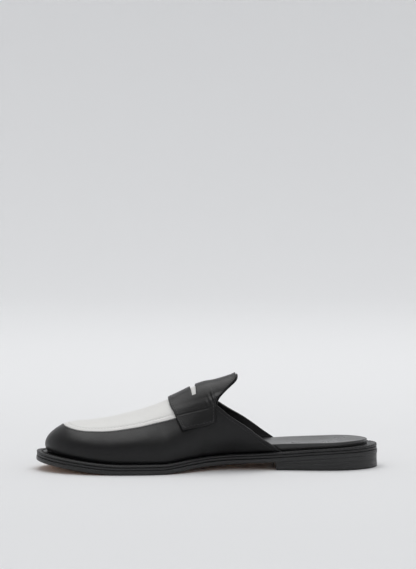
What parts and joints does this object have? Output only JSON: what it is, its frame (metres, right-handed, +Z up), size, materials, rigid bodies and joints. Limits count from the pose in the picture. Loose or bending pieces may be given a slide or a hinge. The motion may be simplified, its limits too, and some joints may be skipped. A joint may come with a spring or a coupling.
{
  "type": "backless penny loafer",
  "caption": "Right backless penny loafer with white apron, black mudguard and strap with slot, welted sole and low heel.",
  "frame": {"origin": "middle of the shoe's bounding box on the plane that the heel and the ball stand on", "axes": "+X towards the back of the heel, -X towards the toe, -Y the medial (inner) side, +Z up"},
  "size_m": [0.2748, 0.0968, 0.0756],
  "materials": {
    "outsole_leather": "black dyed edge, tan sole",
    "sole_edge": "satin black edge",
    "welt_leather": "satin, stitched",
    "heel_stack": "satin black edge",
    "footbed_leather": "smooth satin",
    "black_leather": "smooth polished",
    "white_leather": "smooth satin"
  },
  "bodies": {
    "root": {"outsole": "outsole_leather", "midsole": "sole_edge", "welt": "welt_leather", "heel": "heel_stack", "insole": "footbed_leather", "upper": "black_leather", "apron": "white_leather", "saddle": "black_leather"}
  },
  "joints": []
}
